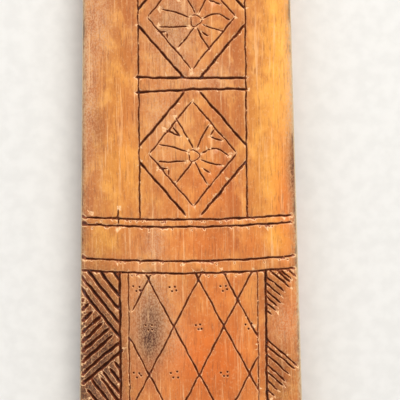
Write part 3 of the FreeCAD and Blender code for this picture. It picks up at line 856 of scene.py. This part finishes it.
def base_samples(outline, seed):
    """Slightly uneven grid of plan points inside an outline."""
    source = np.random.default_rng(seed)
    low, high = outline.min(axis=0) + BASE_MARGIN, outline.max(axis=0) - BASE_MARGIN
    xs, ys = (np.arange(low[axis], high[axis], BASE_STEP) for axis in (0, 1))
    grid = np.array([(x, y) for y in ys for x in xs])
    grid += source.uniform(-0.2, 0.2, grid.shape) * BASE_STEP
    return grid[even_odd(grid, outline)]


def away_from(points, outline, gap):
    """Only the plan points that are at least the gap from the outline's points."""
    near = np.zeros(len(points), bool)
    for chunk in np.array_split(np.arange(len(points)), len(points) // 2000 + 1):
        distance = np.linalg.norm(points[chunk][:, None] - outline[None], axis=2).min(axis=1)
        near[chunk] = distance < gap
    return points[~near]


def circle(x, y, radius, steps=CIRCLE_STEPS):
    """Plan points of a circle, anticlockwise."""
    angles = np.linspace(0, 2 * math.pi, steps, endpoint=False)
    return np.stack([x + radius * np.cos(angles), y + radius * np.sin(angles)], axis=1)


def through_hole(surface, x, y, radius, softening, top_height):
    """Wall of a hole through the piece. Returns its upper and its lower row."""
    soften, bottom_soften = softening
    rows = []
    for angle in np.linspace(0, math.pi / 2, 4):
        plan = circle(x, y, radius + soften * (1 - math.sin(angle)))
        drop = soften * (1 - math.cos(angle))
        rows.append(surface.ring(plan, top_height(plan) - drop))
    rows.append(surface.ring(circle(x, y, radius), np.full(CIRCLE_STEPS, bottom_soften)))
    rows.append(surface.ring(circle(x, y, radius + bottom_soften), np.zeros(CIRCLE_STEPS)))
    for upper, lower in zip(rows, rows[1:]):
        surface.bridge(lower, upper)
    return rows[0], rows[-1]


def blind_recess(surface, x, y, radius, height, upward):
    """A shallow round seat for a peg or a pin. Returns the row at its mouth."""
    rim_plan = circle(x, y, radius + FIT)
    mouth = surface.ring(rim_plan, height(rim_plan))
    floor_level = height(rim_plan).min() - SEAT_DEPTH if upward else SEAT_DEPTH
    floor = surface.ring(rim_plan, np.full(CIRCLE_STEPS, floor_level))
    centre = surface.ring(np.array([(x, y)]), np.array([floor_level]))[0]
    for index in range(CIRCLE_STEPS):
        after = (index + 1) % CIRCLE_STEPS
        side = (mouth[index], mouth[after], floor[after], floor[index])
        bottom = (floor[index], floor[after], centre)
        surface.face(side if upward else side[::-1])
        surface.face(bottom if upward else bottom[::-1])
    return mouth


def wall_rows(surface, outline, top_height, cut_at, under_soften):
    """Rows of the rim's rounding, the side with its groove or tongue, and the lower edge."""
    plan, inset = outline[:, 0:2], outline[:, 2:4]
    depth, low, high, step = outline[:, 4], outline[:, 5], outline[:, 6], outline[:, 7:9]
    soften = np.abs(inset).max(axis=1)
    long_side = np.abs(inset[:, 0]) > np.abs(inset[:, 1])
    rows = []
    for angle, wear in zip(np.linspace(0, math.pi / 2, len(RIM_WEAR)), RIM_WEAR):
        place = plan + inset * (1 - math.sin(angle))
        level = top_height(plan + inset) - soften * (1 - math.cos(angle))
        cut = cut_at(place) * math.cos(angle) ** 0.7 if cut_at else np.zeros(len(plan))
        rows.append(surface.ring(place, level - cut, cut))
        surface.rim.update(zip(rows[-1], long_side * wear))
    high = np.where(depth == 0, np.minimum(high, level - LEAST_WALL), high)
    low = np.where(depth == 0, np.minimum(low, high - LEAST_WALL), low)
    deep = plan + step * depth[:, None]
    for place, level in ((plan, high), (deep, high), (deep, low), (plan, low)):
        rows.append(surface.ring(place, level))
    rows.append(surface.ring(plan, np.full(len(plan), under_soften)))
    share = np.minimum(1, under_soften / (soften[:, None] + 1e-9))
    rows.append(surface.ring(plan + inset * share, np.zeros(len(plan))))
    for upper, lower in zip(rows, rows[1:]):
        surface.bridge(upper, lower)
    return rows[0], rows[-1]


def new_object(name, data):
    """A new object of some data, in the scene."""
    made = bpy.data.objects.new(name, data)
    bpy.context.scene.collection.objects.link(made)
    return made


def add_attribute(mesh, name, values):
    """Give each vertex of a mesh a number."""
    attribute = mesh.attributes.new(name, "FLOAT", "POINT")
    attribute.data.foreach_set("value", np.array(values, np.float32))


def make_object(name, surface):
    """A Blender mesh object of a surface, with its cut depth and its worn rim as attributes."""
    mesh = bpy.data.meshes.new(name)
    mesh.from_pydata([Vector(v) * MM for v in surface.vertices], [], surface.faces)
    mesh.validate()
    worn = [surface.rim.get(index, 0.0) for index in range(len(surface.cut))]
    add_attribute(mesh, "cut", surface.cut)
    add_attribute(mesh, "rim", worn)
    mesh.polygons.foreach_set("use_smooth", [True] * len(mesh.polygons))
    mesh.set_sharp_from_angle(angle=math.radians(SHARP_ANGLE))
    return new_object(name, mesh)


def undulation(points):
    """Slow unevenness of a hand-planed face, always at or below the true dome."""
    x, y = points.T
    wave = np.sin(x * 0.31 + 1.3) * np.sin(y * 0.083 + 0.4) + 0.6 * np.sin(x * 0.74 + y * 0.05)
    return FACE_SINK + FACE_WAVE * wave


def make_board():
    """The carved board."""
    strokes = carving()
    pits = ((dot_centres(), DOT_RADIUS, DOT_DEPTH), (chip_centres(), CHIP_RADIUS, CHIP_DEPTH))
    outline = board_outline()
    surface = Surface()

    def plain(points):
        return face_height(points[:, 0]) - undulation(points)

    def carved(points):
        cut = carved_depth(points, strokes, pits)
        return plain(points) - cut, cut

    def flat(points):
        return np.zeros(len(points))

    top, bottom = wall_rows(surface, outline, plain, lambda p: carved_depth(p, strokes, ()), BOARD_UNDER)
    hole_top, hole_bottom = through_hole(surface, 0, HOLE_STATION, HOLE_RADIUS + FIT, HOLE_SOFT, plain)
    peg_tops = []
    peg_feet = []
    pin_feet = []
    for side in (-1, 1):
        place = (side * PEG_SPREAD, PEG_STATION, PEG_RADIUS)
        peg_tops.append(blind_recess(surface, *place, plain, True))
        peg_feet.append(blind_recess(surface, *place, flat, False))
    for side in (-1, 1):
        for y in PIN_STATIONS:
            x = side * (board_half_width(y) - STRIP_DEPTH / 2)
            pin_feet.append(blind_recess(surface, x, y, PIN_RADIUS, flat, False))

    rim, *holes = (surface.plan(row) for row in [top, hole_top] + peg_tops)
    rows = [stroke.samples() for stroke in strokes]
    groups = [row for part in (slice(0, 1), slice(1, 3), slice(3, 5)) for kept in rows for row in kept[part]]
    for centres, radius, _ in pits:
        groups += [centres] + [circle(x, y, radius, PIT_STEPS) for x, y in centres]
    groups.append(base_samples(rim, BOARD_SEED))
    borders = np.vstack([rim] + holes)
    samples = spread_out(groups, borders)
    samples = samples[even_odd(samples, rim)]
    for hole in holes:
        samples = samples[~even_odd(samples, hole)]
    samples = away_from(samples, borders, BORDER_GAP)
    fill(surface, [top, hole_top] + peg_tops, samples, carved, True)
    fill(surface, [bottom, hole_bottom] + peg_feet + pin_feet, [], None, False)
    return make_object("board_carved", surface)


def make_nose():
    """The nose with its notches and its tongue."""
    outline = nose_outline()
    surface = Surface()

    def worn(points):
        return nose_face_height(*points.T) - NOSE_UNEVENNESS * undulation(points), np.zeros(len(points))

    top, bottom = wall_rows(surface, outline, lambda p: worn(p)[0], None, NOSE_UNDER)
    rim = surface.plan(top)
    samples = away_from(base_samples(rim, NOSE_SEED), rim, NOSE_BORDER_GAP)
    fill(surface, [top], samples, worn, True)
    fill(surface, [bottom], [], None, False)
    return make_object("nose_worked", surface)


def add_stains(made):
    """Give a board mesh one attribute for each tint of its soft stains, with the painted shade and the
    painted highlight among them.
    """
    mesh = made.data
    positions = np.zeros(len(mesh.vertices) * 3)
    mesh.vertices.foreach_get("co", positions)
    across, along = positions.reshape(-1, 3).T[:2] / MM
    for tint, patches in STAINS.items():
        weight = np.zeros(len(across))
        for x, y, wide, long, strength in patches:
            distance = ((across - x) / wide) ** 2 + ((along - y) / long) ** 2
            weight = np.maximum(weight, strength * np.exp(-distance))
        add_attribute(mesh, "stain_" + tint, weight)


# ---- materials

def linear(colour):
    """An sRGB colour, 0 to 255, as the linear colour that a shader takes."""
    shares = [part / 255 for part in colour]
    return (*(s / 12.92 if s <= 0.04045 else ((s + 0.055) / 1.055) ** 2.4 for s in shares), 1.0)


class Shader:
    """A material's node tree with short calls for the nodes used here."""

    def __init__(self, name):
        self.material = bpy.data.materials.new(name)
        self.material.use_nodes = True
        self.tree = self.material.node_tree
        self.principled = self.tree.nodes["Principled BSDF"]
        self.place = self.tree.nodes.new("ShaderNodeTexCoord").outputs["Object"]

    def connect(self, value, socket):
        """Link an output to a socket, or set the socket to a number or an sRGB colour."""
        if isinstance(value, bpy.types.NodeSocket):
            self.tree.links.new(value, socket)
        else:
            socket.default_value = linear(value) if isinstance(value, tuple) else value

    def node(self, kind, values, output, **settings):
        """Add a node with these settings and input values. Returns one of its outputs."""
        node = self.tree.nodes.new("ShaderNode" + kind)
        for name, value in settings.items():
            setattr(node, name, value)
        for name, value in values.items():
            self.connect(value, node.inputs[name])
        return node.outputs[output]

    def attribute(self, name):
        """A number stored on the mesh."""
        return self.node("Attribute", {}, "Fac", attribute_name=name)

    def noise(self, size, detail=3.0, roughness=0.55, distortion=0.0, offset=0.0):
        """Noise whose features have about this size in mm along X, Y and Z."""
        shift = [offset, offset * 0.7, offset * 1.3]
        scale = [1000.0 / s for s in size]
        place = self.node("Mapping", {"Vector": self.place, "Location": shift, "Scale": scale}, "Vector")
        values = {"Vector": place, "Scale": 1.0, "Detail": detail, "Roughness": roughness}
        return self.node("TexNoise", values | {"Distortion": distortion}, "Fac")

    def times(self, first, second):
        """The product of two values."""
        return self.node("Math", {0: first, 1: second}, 0, operation="MULTIPLY")

    def span(self, value, low, high, to_low=0.0, to_high=1.0):
        """A value's range moved to another range, clamped."""
        values = {"Value": value, "From Min": low, "From Max": high, "To Min": to_low, "To Max": to_high}
        return self.node("MapRange", values, "Result", interpolation_type="SMOOTHSTEP")

    def blend(self, share, first, second):
        """Two colours mixed by a share, which the node keeps between 0 and 1."""
        return self.node("Mix", {"Factor": share, 6: first, 7: second}, 2, data_type="RGBA")

    def bump(self, height, distance, strength, before=None):
        """Relief of a height in mm."""
        values = {"Strength": strength, "Distance": distance * MM, "Height": height}
        if before is not None:
            values["Normal"] = before
        return self.node("Bump", values, "Normal")

    def finish(self, colour, roughness, normal, coat=0.0):
        """Connect the results to the shader."""
        values = {"Base Color": colour, "Roughness": roughness, "Normal": normal}
        for name, value in (values | {"Coat Weight": coat, "Coat Roughness": 0.35}).items():
            self.connect(value, self.principled.inputs[name])
        return self.material


def stained_wood():
    """Orange-brown polished wood with grain, soft stains with painted shade and highlight along the long
    edges, dirt and painted shade in the cuts, a painted highlight on the cuts' shoulders and rubbed pale long
    edges.
    """
    m = Shader("stained_wood")
    broad = m.noise((6.0, 90.0, 6.0), 3.0, 0.6, 0.3)
    streak = m.noise((0.6, 18.0, 0.6), 4.0, 0.7, 0.2, 5.0)
    fibre = m.noise((0.26, 2.6, 0.26), 3.0, 0.6, 0.0, 9.0)
    mottle = m.noise((3.0, 5.0, 3.0), 4.0, 0.6, 0.4, 2.0)
    speck = m.noise((0.45, 0.6, 0.45), 2.0, 0.7, 0.0, 13.0)
    powder = m.noise((0.26, 0.42, 0.26), 2.0, 0.6, 0.0, 17.0)
    colour = m.blend(m.span(broad, 0.3, 0.7), WOOD_DARK, WOOD_MIDDLE)
    colour = m.blend(m.span(mottle, 0.42, 0.72, 0.0, 0.75), colour, WOOD_LIGHT)
    uneven = m.span(mottle, 0.25, 0.75, 0.7, 1.25)
    # The soot tint also lays painted shade along the long edges, and the honey tint a painted highlight down
    # the right side.
    for tint in ("honey_and_highlight", "rust", "ash", "soot_and_shade"):
        share = m.times(m.attribute("stain_" + tint), uneven)
        if tint in GRAIN:
            share = m.times(share, m.span(powder, *GRAIN[tint]))
        colour = m.blend(share, colour, TINTS[tint])
    colour = m.blend(m.span(streak, 0.55, 0.7, 0.0, 0.6), colour, STREAK_PALE)
    colour = m.blend(m.span(streak, 0.28, 0.44, 0.45, 0.0), colour, STREAK_DARK)
    colour = m.blend(m.span(fibre, 0.32, 0.48, 0.4, 0.0), colour, PORE_DARK)
    colour = m.blend(m.span(speck, 0.54, 0.7, 0.0, 0.22), colour, STREAK_PALE)
    edge = m.attribute("rim")
    # The pale rubbed rim fades out under the soot stains and under the painted shade of the left edge.
    clean_and_lit = m.span(m.attribute("stain_soot_and_shade"), 0.1, 0.7, 1.0, 0.08)
    rubbed = m.times(m.times(edge, clean_and_lit), m.span(speck, 0.38, 0.56, 0.15, 0.95))
    colour = m.blend(rubbed, colour, RIM_PALE)
    grimy = m.times(edge, m.span(mottle, 0.34, 0.52, 0.75, 0.0))
    colour = m.blend(grimy, colour, CUT_DARK)
    cut = m.attribute("cut")
    # Painted highlight along the shallow shoulders of every cut, speckled.
    cut_highlight = m.times(m.span(cut, 0.0, 0.04), m.span(cut, 0.08, 0.2, 1.0, 0.0))
    cut_highlight = m.times(cut_highlight, m.span(speck, 0.38, 0.56, 0.25, 1.0))
    colour = m.blend(cut_highlight, colour, CUT_HIGHLIGHT_PALE)
    # Darker walls and bottoms of the cuts: a stain and dirt, together with painted shade.
    wall_stain_and_shade = m.times(m.span(cut, 0.08, 0.2), 0.8)
    colour = m.blend(wall_stain_and_shade, colour, CUT_STAIN_AND_SHADE)
    dirt_and_shade = m.times(m.span(cut, 0.18, 0.5), m.span(mottle, 0.25, 0.6, 0.65, 1.0))
    colour = m.blend(dirt_and_shade, colour, CUT_DARK)
    roughness = m.span(mottle, 0.25, 0.75, 0.42, 0.58)
    normal = m.bump(streak, 0.05, 0.6)
    normal = m.bump(fibre, 0.035, 0.7, normal)
    normal = m.bump(speck, 0.02, 0.4, normal)
    m.principled.inputs["Specular IOR Level"].default_value = 0.3
    return m.finish(colour, roughness, normal, 0.05)


def strip_wood():
    """Pale hard wood, worn and speckled."""
    m = Shader("strip_wood")
    streak = m.noise((0.5, 14.0, 0.5), 4.0, 0.6, 0.1, 3.0)
    blotch = m.noise((2.0, 6.0, 2.0), 4.0, 0.6, 0.3, 6.0)
    speck = m.noise((0.35, 0.5, 0.35), 2.0, 0.7, 0.0, 8.0)
    colour = m.blend(m.span(streak, 0.3, 0.7), STRIP_DARK, STRIP_LIGHT)
    colour = m.blend(m.span(blotch, 0.5, 0.75, 0.0, 0.5), colour, STRIP_BLOTCH)
    colour = m.blend(m.span(speck, 0.56, 0.68, 0.0, 0.6), colour, STRIP_SPECK)
    normal = m.bump(streak, 0.05, 0.6)
    normal = m.bump(speck, 0.05, 0.6, normal)
    return m.finish(colour, m.span(blotch, 0.3, 0.7, 0.45, 0.65), normal)


def pin_wood():
    """Dark end grain of a peg or a pin."""
    m = Shader("pin_wood")
    pores = m.noise((0.25, 0.25, 0.6), 2.0, 0.6, 0.0, 4.0)
    shade = m.noise((1.6, 1.6, 3.0), 3.0, 0.6, 0.0, 1.0)
    colour = m.blend(m.span(shade, 0.3, 0.7), PIN_DARK, PIN_LIGHT)
    colour = m.blend(m.span(pores, 0.55, 0.7, 0.0, 0.7), colour, PIN_PORE)
    return m.finish(colour, m.span(shade, 0.3, 0.7, 0.5, 0.66), m.bump(pores, 0.06, 0.7))


def nose_wood():
    """Hard pale wood, polished and darkened by rubbing at the tip."""
    m = Shader("nose_wood")
    broad = m.noise((4.0, 30.0, 4.0), 3.0, 0.6, 0.3, 2.0)
    streak = m.noise((0.45, 12.0, 0.45), 4.0, 0.65, 0.15, 7.0)
    fleck = m.noise((0.3, 1.4, 0.3), 2.0, 0.6, 0.0, 11.0)
    stain = m.noise((5.0, 5.0, 5.0), 3.0, 0.55, 0.4, 14.0)
    colour = m.blend(m.span(broad, 0.3, 0.7), NOSE_DARK, NOSE_LIGHT)
    colour = m.blend(m.span(streak, 0.26, 0.44, 0.5, 0.0), colour, NOSE_STREAK)
    colour = m.blend(m.span(fleck, 0.58, 0.7, 0.0, 0.4), colour, NOSE_FLECK)
    along = m.node("SeparateXYZ", {0: m.place}, "Y")
    handled = m.span(along, TIP_STATION * MM, (TIP_STATION + HANDLED_LENGTH) * MM, 0.75, 0.0)
    handled = m.times(handled, m.span(stain, 0.3, 0.65, 0.5, 1.0))
    colour = m.blend(handled, colour, NOSE_HANDLED)
    normal = m.bump(streak, 0.04, 0.6)
    normal = m.bump(fleck, 0.03, 0.5, normal)
    return m.finish(colour, m.span(stain, 0.3, 0.7, 0.3, 0.5), normal, 0.2)


def floor_material():
    """Plain pale floor."""
    m = Shader("pale_floor")
    grain = m.noise((3.0, 3.0, 3.0), 2.0, 0.5)
    colour = m.blend(m.span(grain, 0.3, 0.7), FLOOR_DARK, FLOOR_LIGHT)
    return m.finish(colour, 0.8, m.bump(grain, 0.02, 0.3))


def dress(made, material):
    """Give an object its material."""
    made.data.materials.clear()
    made.data.materials.append(material)


def repaint(nodes, material):
    """Give CAD objects another material in the slots that they have."""
    for node in nodes:
        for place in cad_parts[node].material_slots:
            place.link = "OBJECT"
            place.material = material


# ---- stage, lights and camera

def make_floor(material):
    """A large flat floor under the object."""
    mesh = bpy.data.meshes.new("floor")
    corners = [(x * FLOOR_REACH, y * FLOOR_REACH, FLOOR_LEVEL) for x, y in SQUARE]
    mesh.from_pydata(corners, [], [(0, 1, 2, 3)])
    mesh.materials.append(material)
    new_object("floor", mesh)


def make_light(name, place, size, power, colour):
    """A square area light that points at the middle of the object."""
    light = bpy.data.lights.new(name, "AREA")
    light.shape = "SQUARE"
    light.size = size
    light.energy = power
    light.color = colour
    made = new_object(name, light)
    made.location = place
    made.rotation_euler = (Vector(LIGHT_TARGET) - Vector(place)).to_track_quat("-Z", "Y").to_euler()
    made.visible_camera = False


def make_camera():
    """The camera straight above the middle of the face, turned with the board's slight tilt."""
    data = bpy.data.cameras.new("camera")
    data.sensor_width = SENSOR_WIDTH
    data.lens = LENS
    data.clip_start = 0.01
    camera = new_object("camera", data)
    camera.location = CAMERA_PLACE
    camera.rotation_euler = (0.0, 0.0, math.radians(CAMERA_TURN))
    bpy.context.scene.camera = camera


def make_world():
    """Soft even light from all sides."""
    world = bpy.data.worlds.new("studio")
    world.use_nodes = True
    background = world.node_tree.nodes["Background"]
    background.inputs["Color"].default_value = (1.0, 1.0, 1.0, 1.0)
    background.inputs["Strength"].default_value = WORLD_STRENGTH
    bpy.context.scene.world = world


# ---- everything together

board = make_board()
add_stains(board)
dress(board, stained_wood())
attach(board, "root")
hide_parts("carved_board")

nose = make_nose()
dress(nose, nose_wood())
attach(nose, "root")
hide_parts("nose_block")

repaint(("left_edge_strip", "right_edge_strip"), strip_wood())
repaint(("strip_pins", "nose_pegs"), pin_wood())

make_floor(floor_material())
make_world()
for light_name, light_values in LIGHTS.items():
    make_light(light_name, *light_values)
make_camera()
bpy.context.scene.view_settings.view_transform = "Standard"
